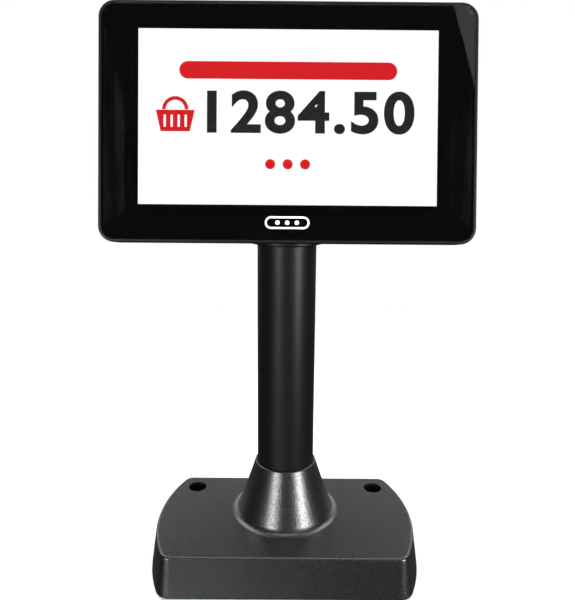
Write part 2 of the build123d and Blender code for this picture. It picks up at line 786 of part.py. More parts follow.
def chassis_screws():
    """Four screws that hold the chassis to the front frame."""
    length = chassis_thickness + chassis_front - ledge_back
    one = head_screw(length, chassis_screw_shank, small_screw_head, small_screw_head_height)
    return placed(one, chassis_back, chassis_places)


standoff_corner = 2.9  # hexagon's corner radius
standoff_foot = 1.15
standoff_bore_depth = 5.0


def board_standoffs():
    """Hexagonal brass spacers between the chassis and the main board."""
    one = slab(RegularPolygon(standoff_corner, 6), 0, standoff_length)
    one -= peg(board_screw_shank, standoff_length - standoff_bore_depth, standoff_length)
    one += peg(standoff_foot, -chassis_thickness, 0)
    return placed(one, chassis_back, standoff_places)


def main_board():
    """Main circuit board on its spacers."""
    plan = Pos(0, -hump_drop) * rounded(board_width, board_height, board_corner)
    made = slab(plan, board_front, board_back)
    for x, z in standoff_places:
        made -= peg(board_screw_shank + screw_gap, board_front, board_back, x, z)
    return made


def board_screws():
    """Four screws into the spacers."""
    length = board_thickness + standoff_bore_depth - 1
    one = head_screw(length, board_screw_shank, small_screw_head, small_screw_head_height)
    return placed(one, board_back, standoff_places)


board_corner = 2.0
processor_x, processor_z = -36.0, 8.0
processor_size, processor_height = 15.0, 1.5
sink_size, sink_base, sink_height = 22.0, 1.5, 5.5
fin_count, fin_thickness = 7, 1.2
switch_x, switch_z = 46.0, -22.0
button_travel = 0.8


def on_board(sketch, x, z, height):
    """Part that stands on the main board's rear side."""
    return slab(Pos(x, z) * sketch, board_back, board_back + height)


def under_board(sketch, x, z, height):
    """Part on the main board's front side."""
    return slab(Pos(x, z) * sketch, board_front - height, board_front)


def processor():
    return on_board(Rectangle(processor_size, processor_size), processor_x, processor_z, processor_height)


def heat_sink():
    """Finned aluminium block on the processor."""
    front = board_back + processor_height
    middle = Pos(processor_x, processor_z)
    made = slab(middle * Rectangle(sink_size, sink_size), front, front + sink_base)
    pitch = (sink_size - fin_thickness) / (fin_count - 1)
    for i in range(fin_count):
        fin = middle * Pos((i - (fin_count - 1) / 2) * pitch, 0) * Rectangle(fin_thickness, sink_size)
        made += slab(fin, front + sink_base - join, front + sink_height)
    return made


ribbon_x, ribbon_width, ribbon_thickness = -16.0, 30.0, 0.3
touch_x, touch_width, touch_thickness = 30.0, 8.0, 0.15
ribbon_bend = 1.2
socket_depth, socket_height = 4.0, 2.0
socket_side = 2.0  # socket's width past its ribbon, each side
ribbon_plane = board_front - socket_height / 2
ribbon_end = -hump_drop - board_height / 2 + 2
socket_middle = ribbon_end + socket_depth / 2


def board_components():
    """Memory, coils, capacitors and connectors on the main board."""
    solids = [on_board(Rectangle(11, 8), x, 14, 1.1) for x in (-8, 6)]
    solids += [on_board(RectangleRounded(6.5, 6.5, 1), x, 16, 3.0) for x in (24, 33)]
    solids += [on_board(Circle(2.6), x, 5, 5.4) for x in (22, 30, 38)]
    solids.append(on_board(Rectangle(8, 9), -44, -30, 4.5))
    for x, width in ((ribbon_x, ribbon_width), (touch_x, touch_width)):
        outline = Rectangle(width + 2 * socket_side, socket_depth)
        solids.append(under_board(outline, x, socket_middle, socket_height))
    return group(solids)


def ribbon(x, width, thickness, depth, z):
    """Flat flexible cable that leaves the panel's foot and turns up to its socket on the main board."""
    corners = [(x, depth, z), (x, ribbon_plane - 2.6, z), (x, ribbon_plane, z + 5), (x, ribbon_plane, ribbon_end)]
    path = FilletPolyline(*corners, radius=ribbon_bend)
    start = Plane(origin=path @ 0, x_dir=(1, 0, 0), z_dir=path % 0)
    return sweep(start * Rectangle(width, thickness), path)


def lcd_ribbon():
    """Panel's ribbon, from behind the frame's ledge."""
    panel_foot = lcd_rise - lcd_height / 2
    return ribbon(ribbon_x, ribbon_width, ribbon_thickness, ledge_back + join, panel_foot - 2 * lcd_gap)


def touch_ribbon():
    """Touch sensor's ribbon, down the gap beside the panel."""
    panel_foot = lcd_rise - lcd_height / 2
    return ribbon(touch_x, touch_width, touch_thickness, ledge_front, panel_foot - lcd_gap / 2)


rear_edge = 3.0  # rounding round the back of the rim
hump_draft = 8.0  # degrees
hump_edge = 2.5
hollow_draft = 7.0
hollow_margin = 1.0  # hollow's outline inside the wall, where the draft starts
housing_boss_length = 4.5
grommet_x, grommet_z = -38.0, -24.0
grommet_bore = 4.0
grommet_neck = 5.6
grommet_lip = 7.2
grommet_lip_thickness = 1.6
grommet_edge = 0.8
button_radius = 4.0
button_proud = 0.7
button_edge = 0.5
button_collar = 1.3  # collar's width past the button
button_collar_thickness = 1.6
button_stem = 1.5
bracket_plate = 3.0
bracket_width = 48.0
bracket_height = 36.0
bracket_corner = 5.0
bracket_edge = 1.0
bracket_root = 26.0  # arm's height where it leaves the plate
bracket_screw_shank = 1.5
bracket_screw_head = 2.8
bracket_screw_head_height = 1.8
bracket_screw_inset = 5.0
bracket_boss = 3.4
bracket_rise = 4.0  # plate's middle above the tilt axis
bracket_middle = bracket_rise - hinge_drop
bracket_screw_x = bracket_width / 2 - bracket_screw_inset
bracket_screw_z = bracket_height / 2 - bracket_screw_inset
bracket_places = [(x, bracket_middle + z) for x in (-bracket_screw_x, bracket_screw_x)
                  for z in (-bracket_screw_z, bracket_screw_z)]


def hump_solid(inset, front, back, draft):
    """Tapered block of the raised back, between two depths."""
    plan = Pos(0, -hump_drop) * rounded(hump_width, hump_height, hump_corner, inset)
    return extrude(Plane.XZ.offset(-front) * plan, amount=front - back, taper=draft)


def housing_shell():
    """Rear housing's outer form and hollow."""
    made = slab(rounded(head_width, head_height, head_corner), bezel_depth, rim_depth)
    made = fillet(made.faces().sort_by(Axis.Y)[-1].edges(), rear_edge)
    hump = hump_solid(0, rim_depth - join, hump_depth, hump_draft)
    made += fillet(hump.faces().sort_by(Axis.Y)[-1].edges(), hump_edge)
    made -= slab(rounded(head_width, head_height, head_corner, bezel_wall), bezel_depth, rim_depth - shell_wall)
    return made - hump_solid(shell_wall + hollow_margin, bezel_depth, roof_inside, hollow_draft)


def rear_housing():
    """Moulded back shell with the raised middle, vents, screw wells and the bosses for the hinge."""
    made = housing_shell()
    for x, z in corner_places:
        made += peg(housing_boss, bezel_depth, rim_depth - shell_wall + join, x, z)
    for x, z in bracket_places:
        made += peg(bracket_boss, roof_inside - housing_boss_length, roof_inside + join, x, z)
    for x, z in corner_places:
        made -= peg(head_screw_shank + screw_gap, bezel_depth, rim_depth, x, z)
        made -= peg(head_screw_head + moving, rim_depth - head_screw_sunk, rim_depth, x, z)
    for x, z in bracket_places:
        made -= peg(bracket_screw_shank, roof_inside - housing_boss_length + join, hump_depth, x, z)
    made -= peg(button_radius + moving, roof_inside - join, hump_depth, switch_x, switch_z)
    made -= peg(grommet_neck + seat, roof_inside - join, hump_depth, grommet_x, grommet_z)
    return made - slab(vent_slots(), roof_inside - join, hump_depth)


vent_count = 17
vent_pitch = 6.0
vent_width = 2.4
vent_length = 15.0
vent_z = 20.0


def vent_slots():
    """Row of upright slots over the main board."""
    return Sketch() + [
        Pos((i - (vent_count - 1) / 2) * vent_pitch, vent_z) * SlotOverall(vent_length, vent_width, rotation=90)
        for i in range(vent_count)
    ]


def rear_screws():
    """Four screws through the rear housing into the front frame."""
    length = rim_depth - head_screw_sunk - ledge_back - join
    one = head_screw(length, head_screw_shank, head_screw_head, head_screw_head_height)
    return placed(one, rim_depth - head_screw_sunk, corner_places)


def cable_grommet():
    """Rubber ring in the back of the head where the lead goes in."""
    inner, outer = roof_inside - grommet_lip_thickness, hump_depth + grommet_lip_thickness
    made = peg(grommet_neck, inner, outer, grommet_x, grommet_z)
    made += peg(grommet_lip, inner, roof_inside, grommet_x, grommet_z)
    lip = peg(grommet_lip, hump_depth, outer, grommet_x, grommet_z)
    made += fillet(lip.edges().sort_by(Axis.Y)[-1], grommet_edge)
    return made - peg(grommet_bore, inner, outer, grommet_x, grommet_z)


switch_size, switch_height = 6.0, 3.5
plunger_radius, plunger_height = 1.7, 0.8
switch_top = board_back + switch_height + plunger_height


def power_switch():
    """Tactile switch under the button."""
    body = on_board(RectangleRounded(switch_size, switch_size, 0.5), switch_x, switch_z, switch_height)
    return body + peg(plunger_radius, board_back + switch_height, switch_top, switch_x, switch_z)


def power_button():
    """Push button in the back of the head, with a collar that keeps it in."""
    collar_back = roof_inside - 2 * moving
    collar_front = collar_back - button_collar_thickness
    made = peg(button_radius, collar_front, hump_depth + button_proud, switch_x, switch_z)
    made = fillet(made.edges().sort_by(Axis.Y)[-1], button_edge)
    made += peg(button_radius + button_collar, collar_front, collar_back, switch_x, switch_z)
    stem_end = switch_top + button_travel + screw_gap
    return made + peg(button_stem, stem_end, collar_front, switch_x, switch_z)


def hinge_bracket():
    """Cast bracket on the back of the head, with the knuckle that turns on the tilt shaft."""
    back = hump_depth + bracket_plate
    plate = Pos(0, bracket_middle) * rounded(bracket_width, bracket_height, bracket_corner)
    plate = slab(plate, hump_depth, back)
    plate = fillet(plate.faces().sort_by(Axis.Y)[-1].edges(), bracket_edge)
    root, root_depth, axis_z = bracket_root / 2, hump_depth + bracket_edge, -hinge_drop
    root_corners = [(root_depth, axis_z - root), (root_depth, axis_z + root)]
    tip_corners = [(hinge_depth, axis_z + knuckle_radius), (hinge_depth, axis_z - knuckle_radius)]
    side = Polygon(*root_corners, *tip_corners, align=None) + Pos(hinge_depth, axis_z) * Circle(knuckle_radius)
    arm = Pos(-knuckle_width / 2, 0, 0) * extrude(Plane.YZ * side, amount=knuckle_width, dir=(1, 0, 0))
    bore = Cylinder(shaft_radius + running, 2 * knuckle_width)
    made = plate + arm - Pos(0, hinge_depth, axis_z) * Rot(0, 90, 0) * bore
    for x, z in bracket_places:
        made -= peg(bracket_screw_shank + screw_gap, hump_depth, back, x, z)
    return made


def bracket_screws():
    """Four screws that hold the hinge bracket to the rear housing's bosses."""
    length = bracket_plate + shell_wall + housing_boss_length - 2 * join
    one = head_screw(length, bracket_screw_shank, bracket_screw_head, bracket_screw_head_height)
    return placed(one, hump_depth + bracket_plate, bracket_places)


# ---- assembly ------------------------------------------------------------------------------------------
STAND_NODES = {
    "base_cover": base_cover,
    "bottom_plate": bottom_plate,
    "ballast_plate": ballast_plate,
    "base_screws": base_screws,
    "pole_socket": pole_socket,
    "socket_screws": socket_screws,
    "pole_tube": pole_tube,
    "pole_lock_screw": lock_screw,
    "inlet_board": inlet_board,
    "inlet_jack": inlet_jack,
    "inlet_contacts": inlet_contacts,
    "pole_harness": pole_harness,
    "harness_plugs": harness_plugs,
    "swivel_bush": swivel_bush,
}
NECK_NODES = {
    "swivel_disc": swivel_disc,
    "swivel_stop_pin": stop_pin,
    "swivel_bolt": swivel_bolt,
    "swivel_nut": swivel_nut,
    "swivel_spring_washer": spring_washer,
    "tilt_yoke": tilt_yoke,
    "yoke_screws": yoke_screws,
    "tilt_shaft": tilt_shaft,
    "tilt_friction_washers": friction_washers,
    "tilt_nut": tilt_nut,
    "hinge_cap_left": lambda: hinge_cap(-1),
    "hinge_cap_right": lambda: hinge_cap(1),
}
HEAD_NODES = {
    "cover_glass": cover_glass,
    "border_print": border_print,
    "glass_tape": glass_tape,
    "front_bezel": front_bezel,
    "lcd_cell": lcd_cell,
    "lcd_backlight": lcd_backlight,
    "chassis_plate": chassis_plate,
    "chassis_screws": chassis_screws,
    "board_standoffs": board_standoffs,
    "main_board": main_board,
    "board_screws": board_screws,
    "processor": processor,
    "heat_sink": heat_sink,
    "board_components": board_components,
    "lcd_ribbon": lcd_ribbon,
    "touch_ribbon": touch_ribbon,
    "rear_housing": rear_housing,
    "rear_screws": rear_screws,
    "cable_grommet": cable_grommet,
    "power_switch": power_switch,
    "power_button": power_button,
    "hinge_bracket": hinge_bracket,
    "bracket_screws": bracket_screws,
}


def build():
    """Every node of the terminal, by name, in place."""
    nodes = {name: make() for name, make in STAND_NODES.items()}
    nodes.update({name: foot(x, y) for name, (x, y) in foot_places.items()})
    nodes.update({name: make() for name, make in NECK_NODES.items()})
    nodes.update({name: HEAD * make() for name, make in HEAD_NODES.items()})
    return nodes


os.makedirs("parts", exist_ok=True)
for node_name, shape in build().items():
    export_step(shape, f"parts/{node_name}.step")
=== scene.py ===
import json
import math

import bpy
from mathutils import Matrix, Quaternion, Vector


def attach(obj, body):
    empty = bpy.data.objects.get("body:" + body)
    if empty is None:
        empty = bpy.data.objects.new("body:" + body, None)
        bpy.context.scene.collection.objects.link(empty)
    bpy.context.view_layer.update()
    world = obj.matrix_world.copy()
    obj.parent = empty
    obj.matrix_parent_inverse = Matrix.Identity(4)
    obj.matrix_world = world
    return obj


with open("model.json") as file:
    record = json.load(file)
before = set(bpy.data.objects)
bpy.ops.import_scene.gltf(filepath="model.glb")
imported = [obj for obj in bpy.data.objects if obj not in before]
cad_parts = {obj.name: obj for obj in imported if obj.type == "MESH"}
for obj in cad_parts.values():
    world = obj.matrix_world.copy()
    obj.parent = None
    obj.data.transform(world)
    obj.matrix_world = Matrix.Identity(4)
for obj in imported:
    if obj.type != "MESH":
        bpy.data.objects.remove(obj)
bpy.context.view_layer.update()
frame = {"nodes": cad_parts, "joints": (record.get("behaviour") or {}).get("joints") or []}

MM = 0.001
GLASS, BORDER, CELL = "cover_glass", "border_print", "lcd_cell"
CONE_LEVEL = 50 * MM  # the lamps aim at this height

CAMERA_PLACE = (0.0, -0.35835, 0.2531)
CAMERA_DIP, CAMERA_ROLL = 11.0, -0.45  # degrees below level, and about the line of sight
CAMERA_LENS = 37.3
CAMERA_SHIFT = (-0.0004, -0.0497)

# what the object mirrors: the dark room in front, the table below it, and the backdrop behind,
# as (sine of the height angle, brightness)
ROOM_GLOW = 0.02
TABLE_GLOW = 0.06
BACKDROP = ((-0.50, 0.02), (-0.10, 0.06), (0.03, 2.2), (0.24, 2.2),
            (0.40, 0.42), (0.52, 0.36), (1.0, 0.36))
BACKDROP_STARTS, BACKDROP_FULL = 0.22, 0.75  # how far a direction points backwards
TABLE_ENDS, ROOM_STARTS = -0.30, 0.10        # how far it points upwards

# the floor is paper round the object and turns plain white further out
PAPER_ENDS, WHITE_STARTS = 0.16, 0.55        # metres from the object's axis
PAPER_GLOW = 0.35


# ---------------------------------------------------------------- places

def head_axes():
    """Rotation whose columns are the head's width, depth behind the glass, and height."""
    press = next(j for j in frame["joints"] if j["name"] == "power_press")
    depth = -Vector(press["axis"]).normalized()
    across = Vector((1, 0, 0))
    return Matrix((across, depth, across.cross(depth))).transposed()


def head_points(node):
    """A head node's corners in the head's own axes, measured from the row's origin."""
    turn = head_axes().transposed()
    return [turn @ v.co for v in frame["nodes"][node].data.vertices]


def span(values):
    values = list(values)
    return min(values), max(values)


def head_matrix():
    """Head's axes with the origin at the middle of the glass's front face."""
    points = head_points(GLASS)
    low, high = span(p.z for p in points)
    front = min(p.y for p in points)
    return head_axes().to_4x4() @ Matrix.Translation((0, front, (low + high) / 2))


HEAD = head_matrix()


def window():
    """Lowest and highest corner (across, up) of the opening in the printed border."""
    back = HEAD.inverted()
    points = [back @ v.co for v in frame["nodes"][BORDER].data.vertices]
    reach = max(abs(p.x) for p in points)
    inner = [p for p in points if abs(p.x) < 0.9 * reach and abs(p.z) < 0.8 * reach]
    half_height = max(abs(p.z) for p in points)
    inner = [p for p in inner if abs(p.z) < 0.9 * half_height]
    (x0, x1), (z0, z1) = span(p.x for p in inner), span(p.z for p in inner)
    return Vector((x0, z0)), Vector((x1, z1))


def depth_range(node):
    """Front and back of a head node, behind the glass's front face."""
    back = HEAD.inverted()
    return span((back @ v.co).y for v in frame["nodes"][node].data.vertices)


# ---------------------------------------------------------------- camera, stage and lights

def make_camera():
    """Photograph's viewpoint: in front of the head, a little above its middle, looking down."""
    data = bpy.data.cameras.new("camera")
    camera = bpy.data.objects.new("camera", data)
    bpy.context.scene.collection.objects.link(camera)
    camera.location = CAMERA_PLACE
    camera.rotation_euler = (math.radians(90 - CAMERA_DIP), math.radians(CAMERA_ROLL), 0)
    data.lens = CAMERA_LENS
    data.shift_x, data.shift_y = CAMERA_SHIFT
    data.clip_start = 0.01
    bpy.context.scene.camera = camera


def area_light(name, azimuths, rises, distance, radiance, roll=0.0):
    """Soft box that fills a patch of directions seen from the object.

    Azimuth 0 is in front and positive to the right; a rise is the angle above the level of the cone.
    """
    azimuth, rise = (math.radians(sum(pair) / 2) for pair in (azimuths, rises))
    wide, tall = (2 * distance * math.tan(math.radians(pair[1] - pair[0]) / 2)
                  for pair in (azimuths, rises))
    aim = Vector((0, 0, CONE_LEVEL))
    toward = Vector((math.sin(azimuth) * math.cos(rise),
                     -math.cos(azimuth) * math.cos(rise),
                     math.sin(rise)))
    data = bpy.data.lights.new(name, "AREA")
    data.shape = "RECTANGLE"
    data.size, data.size_y = wide, tall
    data.energy = radiance * math.pi * wide * tall
    light = bpy.data.objects.new(name, data)
    bpy.context.scene.collection.objects.link(light)
    light.location = aim + distance * toward
    turn = Quaternion(toward, math.radians(roll)) @ (-toward).to_track_quat("-Z", "Y")
    light.rotation_euler = turn.to_euler()
    light.visible_camera = False


def make_world():
    """White for the camera; what the object mirrors is white behind it and dark in front."""
    world = bpy.data.worlds.new("studio")
    bpy.context.scene.world = world
    world.use_nodes = True
    nt = world.node_tree
    nt.nodes.clear()
    out = nt.nodes.new("ShaderNodeOutputWorld")
    seen, room = nt.nodes.new("ShaderNodeBackground"), nt.nodes.new("ShaderNodeBackground")
    room.inputs["Color"].default_value = seen.inputs["Color"].default_value = (1, 1, 1, 1)
    coord, split = nt.nodes.new("ShaderNodeTexCoord"), nt.nodes.new("ShaderNodeSeparateXYZ")
    nt.links.new(coord.outputs["Generated"], split.inputs[0])

    def rising(axis, start, end, low, high):
        """Brightness that rises along one axis of the direction looked at."""
        made = nt.nodes.new("ShaderNodeMapRange")
        made.interpolation_type = "SMOOTHSTEP"
        for socket, number in (("From Min", start), ("From Max", end),
                               ("To Min", low), ("To Max", high)):
            made.inputs[socket].default_value = number
        nt.links.new(split.outputs[axis], made.inputs["Value"])
        return made.outputs[0]

    brightest = max(level for _, level in BACKDROP)
    height, profile = nt.nodes.new("ShaderNodeMapRange"), nt.nodes.new("ShaderNodeValToRGB")
    height.inputs["From Min"].default_value = -1
    nt.links.new(split.outputs["Z"], height.inputs["Value"])
    nt.links.new(height.outputs[0], profile.inputs["Fac"])
    stops = profile.color_ramp.elements
    while len(stops) < len(BACKDROP):
        stops.new(0.5)
    for stop, (sine, level) in zip(stops, BACKDROP):
        stop.position = (sine + 1) / 2
        stop.color = (*(3 * (level / brightest,)), 1)
    behind, total = nt.nodes.new("ShaderNodeMath"), nt.nodes.new("ShaderNodeMath")
    behind.operation, total.operation = "MULTIPLY", "MAXIMUM"
    nt.links.new(profile.outputs["Color"], behind.inputs[0])
    nt.links.new(rising("Y", BACKDROP_STARTS, BACKDROP_FULL, 0.0, brightest), behind.inputs[1])
    nt.links.new(rising("Z", TABLE_ENDS, ROOM_STARTS, TABLE_GLOW, ROOM_GLOW), total.inputs[0])
    nt.links.new(behind.outputs[0], total.inputs[1])
    nt.links.new(total.outputs[0], room.inputs["Strength"])
    path, mix = nt.nodes.new("ShaderNodeLightPath"), nt.nodes.new("ShaderNodeMixShader")
    nt.links.new(path.outputs["Is Camera Ray"], mix.inputs[0])
    nt.links.new(room.outputs[0], mix.inputs[1])
    nt.links.new(seen.outputs[0], mix.inputs[2])
    nt.links.new(mix.outputs[0], out.inputs[0])


def make_floor():
    """Plain pale floor, white where it meets the background."""
    mesh = bpy.data.meshes.new("floor")
    reach = 4.0
    corners = [(-reach, -reach, 0), (reach, -reach, 0), (reach, reach, 0), (-reach, reach, 0)]
    mesh.from_pydata(corners, [], [(0, 1, 2, 3)])
    floor = bpy.data.objects.new("floor", mesh)
    bpy.context.scene.collection.objects.link(floor)
    floor.visible_glossy = floor.visible_diffuse = False
    material = bpy.data.materials.new("floor_paper")
    material.use_nodes = True
    nt = material.node_tree
    nt.nodes.clear()
    out = nt.nodes.new("ShaderNodeOutputMaterial")
    paper, glow = nt.nodes.new("ShaderNodeBsdfDiffuse"), nt.nodes.new("ShaderNodeEmission")
    paper.inputs["Color"].default_value = (0.86, 0.86, 0.86, 1)
    coord, length = nt.nodes.new("ShaderNodeTexCoord"), nt.nodes.new("ShaderNodeVectorMath")
    length.operation = "LENGTH"
    fade = nt.nodes.new("ShaderNodeMapRange")
    fade.interpolation_type = "SMOOTHSTEP"
    fade.inputs["From Min"].default_value = PAPER_ENDS
    fade.inputs["From Max"].default_value = WHITE_STARTS
    fade.inputs["To Min"].default_value = PAPER_GLOW
    add = nt.nodes.new("ShaderNodeMixShader")
    nt.links.new(coord.outputs["Object"], length.inputs[0])
    nt.links.new(length.outputs["Value"], fade.inputs["Value"])
    nt.links.new(fade.outputs[0], add.inputs[0])
    nt.links.new(paper.outputs[0], add.inputs[1])
    nt.links.new(glow.outputs[0], add.inputs[2])
    nt.links.new(add.outputs[0], out.inputs[0])
    mesh.materials.append(material)


def make_lights():
    """Soft boxes in front, above and behind, and the cards that the glass and the base mirror."""
    area_light("key_left", (-38, -24), (-10, 15), 3.0, 46.0)
    area_light("key_right", (37, 54), (-10, 15), 3.0, 58.0)
    area_light("top", (-20, 20), (60, 96), 1.6, 5.0)
    area_light("back_left", (-142, -112), (34, 62), 2.0, 8.0)
    area_light("back_right", (112, 142), (34, 62), 2.0, 8.0)
    area_light("card_right", (23.6, 62), (8, 60), 1.9, 0.95, roll=-2.5)
    area_light("card_low", (-46, -6), (-46, -20), 1.2, 2.0)


# ---------------------------------------------------------------- material helpers

class Shader:
    """Small helper that builds one node material on object coordinates."""

    def __init__(self, name, colour=(0.5, 0.5, 0.5), rough=0.5, metal=0.0, ior=1.5):
        self.material = bpy.data.materials.new(name)
        self.material.use_nodes = True
        self.nt = self.material.node_tree
        self.bsdf = self.nt.nodes["Principled BSDF"]
        self.set("Base Color", (*colour, 1))
        self.set("Roughness", rough)
        self.set("Metallic", metal)
        self.set("IOR", ior)
        self.coord = self.node("ShaderNodeTexCoord").outputs["Object"]

    def node(self, kind, **settings):
        made = self.nt.nodes.new(kind)
        for key, value in settings.items():
            setattr(made, key, value)
        return made

    def set(self, socket, value):
        self.bsdf.inputs[socket].default_value = value

    def link(self, output, target):
        self.nt.links.new(output, self.bsdf.inputs[target] if isinstance(target, str) else target)

    def noise(self, scale, detail=2.0, rough=0.5, stretch=None):
        """Grey noise, its features about one over scale metres across."""
        made = self.node("ShaderNodeTexNoise")
        made.inputs["Scale"].default_value = scale
        made.inputs["Detail"].default_value = detail
        made.inputs["Roughness"].default_value = rough
        self.link(self.stretched(stretch) if stretch else self.coord, made.inputs["Vector"])
        return made.outputs["Fac"]

    def stretched(self, factors):
        made = self.node("ShaderNodeMapping")
        made.inputs["Scale"].default_value = factors
        self.link(self.coord, made.inputs["Vector"])
        return made.outputs["Vector"]

    def range(self, value, low, high, to_low, to_high):
        """Value stretched from one range to another, held inside the second."""
        made = self.node("ShaderNodeMapRange", clamp=True)
        sockets = ("From Min", "From Max", "To Min", "To Max")
        for socket, number in zip(sockets, (low, high, to_low, to_high)):
            made.inputs[socket].default_value = number
        self.link(value, made.inputs["Value"])
        return made.outputs["Result"]

    def math(self, operation, a, b):
        made = self.node("ShaderNodeMath", operation=operation)
        for i, value in enumerate((a, b)):
            if isinstance(value, (int, float)):
                made.inputs[i].default_value = value
            else:
                self.link(value, made.inputs[i])
        return made.outputs[0]

    def blend(self, factor, a, b):
        """Colour between two, each a colour or another output."""
        made = self.node("ShaderNodeMix", data_type="RGBA")
        self.link(factor, made.inputs[0])
        for i, value in ((6, a), (7, b)):
            if isinstance(value, tuple):
                made.inputs[i].default_value = (*value, 1)
            else:
                self.link(value, made.inputs[i])
        return made.outputs[2]

    def bump(self, height, distance, strength=1.0, under=None):
        """Relief from a height, over another normal if one is given."""
        made = self.node("ShaderNodeBump")
        made.inputs["Strength"].default_value = strength
        made.inputs["Distance"].default_value = distance
        self.link(height, made.inputs["Height"])
        if under is not None:
            self.link(under, made.inputs["Normal"])
        self.link(made.outputs["Normal"], "Normal")

    def soft_edge(self, radius):
        """Normal rounded over the sharp edges."""
        made = self.node("ShaderNodeBevel", samples=4)
        made.inputs["Radius"].default_value = radius
        return made.outputs["Normal"]


def grained(name, colour, rough, grain, depth, spread=0.10, tone=0.25):
    """Moulded or painted surface: fine pebbled grain, uneven tone and gloss, softened edges."""
    s = Shader(name, colour, rough)
    fine, coarse, cloud = s.noise(grain, 1.0, 0.5), s.noise(grain * 0.5, 1.0), s.noise(38.0, 3.0)
    pebble = s.math("ADD", s.math("MULTIPLY", fine, 0.6), s.math("MULTIPLY", coarse, 0.4))
    shade = s.range(s.math("ADD", s.math("MULTIPLY", pebble, 0.7), s.math("MULTIPLY", cloud, 0.3)),
                    0.35, 0.65, 0.0, 1.0)
    low = tuple(c * (1 - tone) for c in colour)
    high = tuple(c * (1 + tone) for c in colour)
    body = s.blend(shade, low, high)
    s.link(body, "Base Color")
    s.link(s.range(pebble, 0.30, 0.70, rough - spread, rough + spread), "Roughness")
    s.bump(pebble, depth, 1.0, s.soft_edge(0.00018))
    return s


def brushed(name, colour, rough, scale=900.0, stretch=(1, 1, 0.05), depth=0.00002, metal=1.0):
    """Drawn or turned metal with fine lines and a little staining."""
    s = Shader(name, colour, rough, metal)
    lines, cloud = s.noise(scale, 3.0, 0.6, stretch), s.noise(60.0, 3.0)
    low = tuple(c * 0.72 for c in colour)
    s.link(s.blend(s.range(cloud, 0.35, 0.65, 0, 1), low, colour), "Base Color")
    s.link(s.range(lines, 0.3, 0.7, rough * 0.75, rough * 1.3), "Roughness")
    s.bump(lines, depth, 0.6, s.soft_edge(0.00025))
    return s


# ---------------------------------------------------------------- the record's finishes

def moulded_black():
    """Base cover's spark-eroded black plastic."""
    return grained("moulded_black", (0.0046, 0.0046, 0.0047), 0.33, 1900.0, 0.00008,
                   tone=0.5, spread=0.08)


def case_black():
    """Head's finer moulded plastic."""
    s = grained("case_black", (0.0040, 0.0040, 0.0041), 0.45, 2600.0, 0.00004, spread=0.06)
    s.set("Specular IOR Level", 0.15)
    return s


def floor_black():
    return grained("floor_black", (0.024, 0.024, 0.025), 0.55, 2200.0, 0.00006)


def powder_black():
    """Powder coat on the pole and the yoke: shallow orange peel under a fine satin."""
    s = grained("powder_black", (0.0028, 0.0028, 0.0029), 0.42, 2000.0, 0.00003, spread=0.04)
    s.set("Specular IOR Level", 0.14)
    return s


def black_screw():
    return brushed("black_screw", (0.045, 0.045, 0.047), 0.38, metal=0.8)


def zinc_steel():
    return brushed("zinc_steel", (0.62, 0.63, 0.64), 0.30)


def sheet_steel():
    return brushed("sheet_steel", (0.48, 0.49, 0.50), 0.36, 500.0, (0.04, 1, 1))


def bearing_white():
    return grained("bearing_white", (0.78, 0.77, 0.73), 0.42, 1800.0, 0.00002, spread=0.05, tone=0.05)


def brass():
    return brushed("brass", (0.78, 0.56, 0.24), 0.28)


def gold_contact():
    return brushed("gold_contact", (0.95, 0.72, 0.32), 0.20, 1500.0)


def foot_rubber():
    return grained("foot_rubber", (0.014, 0.014, 0.014), 0.80, 1500.0, 0.00008)


def grommet_rubber():
    return grained("grommet_rubber", (0.015, 0.015, 0.015), 0.66, 2400.0, 0.00004)


def lead_jacket():
    return grained("lead_jacket", (0.018, 0.018, 0.019), 0.50, 2600.0, 0.00003)


def plug_white():
    return grained("plug_white", (0.74, 0.72, 0.66), 0.45, 2400.0, 0.00002, spread=0.05, tone=0.06)


def jack_black():
    return grained("jack_black", (0.012, 0.012, 0.012), 0.36, 2600.0, 0.00003)


def touch_glass():
    """Clear cover glass that lets the lamps reach the print behind it."""
    s = Shader("touch_glass", (1, 1, 1), 0.02, ior=1.5)
    s.set("Transmission Weight", 1.0)
    smear = s.noise(26.0, 4.0, 0.62)
    s.link(s.range(smear, 0.38, 0.72, 0.012, 0.055), "Roughness")
    path, clear = s.node("ShaderNodeLightPath"), s.node("ShaderNodeBsdfTransparent")
    mix = s.node("ShaderNodeMixShader")
    s.link(path.outputs["Is Shadow Ray"], mix.inputs[0])
    s.link(s.bsdf.outputs[0], mix.inputs[1])
    s.link(clear.outputs[0], mix.inputs[2])
    s.link(mix.outputs[0], s.nt.nodes["Material Output"].inputs["Surface"])
    return s


def border_black():
    """Black ceramic print on the back of the glass."""
    s = Shader("border_black", (0.004, 0.004, 0.0045), 0.55)
    dots = s.noise(2400.0, 2.0)
    low, high = (0.0007, 0.0007, 0.00075), (0.0013, 0.0013, 0.00135)
    s.link(s.blend(s.range(dots, 0.4, 0.7, 0, 1), low, high), "Base Color")
    s.link(s.range(dots, 0.3, 0.7, 0.5, 0.7), "Roughness")
    s.set("Specular IOR Level", 0.0)
    return s


def tape_grey():
    return grained("tape_grey", (0.10, 0.10, 0.105), 0.85, 1400.0, 0.00006)


def panel_glass():
    """Display cell: dark glass with a fine pixel grid."""
    s = Shader("panel_glass", (0.010, 0.011, 0.013), 0.22)
    grid = s.noise(1800.0, 0.0)
    low, high = (0.008, 0.009, 0.011), (0.014, 0.015, 0.018)
    s.link(s.blend(s.range(grid, 0.4, 0.6, 0, 1), low, high), "Base Color")
    s.link(s.range(grid, 0.3, 0.7, 0.16, 0.28), "Roughness")
    return s


def panel_tray():
    return brushed("panel_tray", (0.56, 0.57, 0.58), 0.34, 420.0, (0.03, 1, 1))


